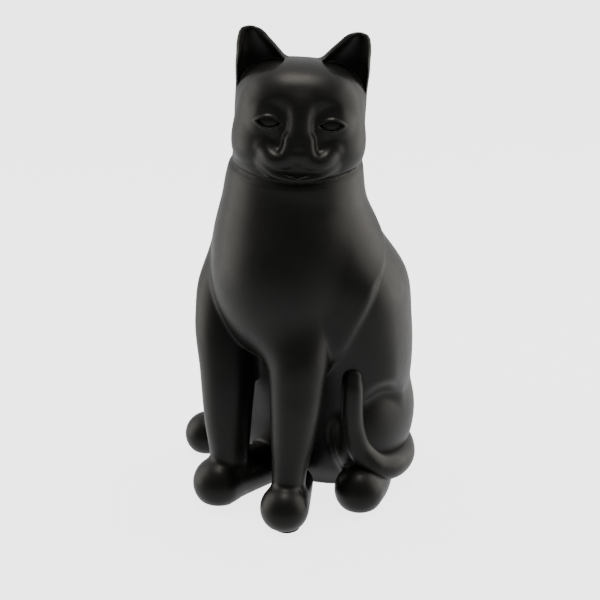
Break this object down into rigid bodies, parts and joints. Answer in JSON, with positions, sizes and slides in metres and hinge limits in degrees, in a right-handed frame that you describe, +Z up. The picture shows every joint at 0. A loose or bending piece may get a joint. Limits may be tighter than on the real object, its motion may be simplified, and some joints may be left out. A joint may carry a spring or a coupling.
{
  "type": "ceramic cat figurine",
  "caption": "Seated cat figurine in satin black ceramic, looking to its left with its tail curled round its side, hollow, with a soft stopper and felt pads underneath.",
  "frame": {"origin": "on the ground, under the middle of the object's box", "axes": "+Z up, -Y the way the cat's body faces, +X the cat's left side, where its tail lies"},
  "size_m": [0.1144, 0.1134, 0.2108],
  "materials": {
    "black_glaze": "satin",
    "raw_clay": "matte",
    "stopper_rubber": "matte",
    "felt": "matte"
  },
  "bodies": {
    "figure": {"body_casting": "black_glaze", "head_casting": "black_glaze", "left_ear": "black_glaze", "right_ear": "black_glaze", "left_foreleg": "black_glaze", "right_foreleg": "black_glaze", "left_hind_paw": "black_glaze", "right_hind_paw": "black_glaze", "tail": "black_glaze", "base_plate": "raw_clay", "pad_front_left": "felt", "pad_front_right": "felt", "pad_rear_left": "felt", "pad_rear_right": "felt"},
    "stopper": {"stopper": "stopper_rubber"}
  },
  "joints": [
    {"name": "stopper_pull", "type": "slide", "parent": "figure", "child": "stopper", "axis": [0, 0, -1], "range_m": [0, 0.03]}
  ]
}
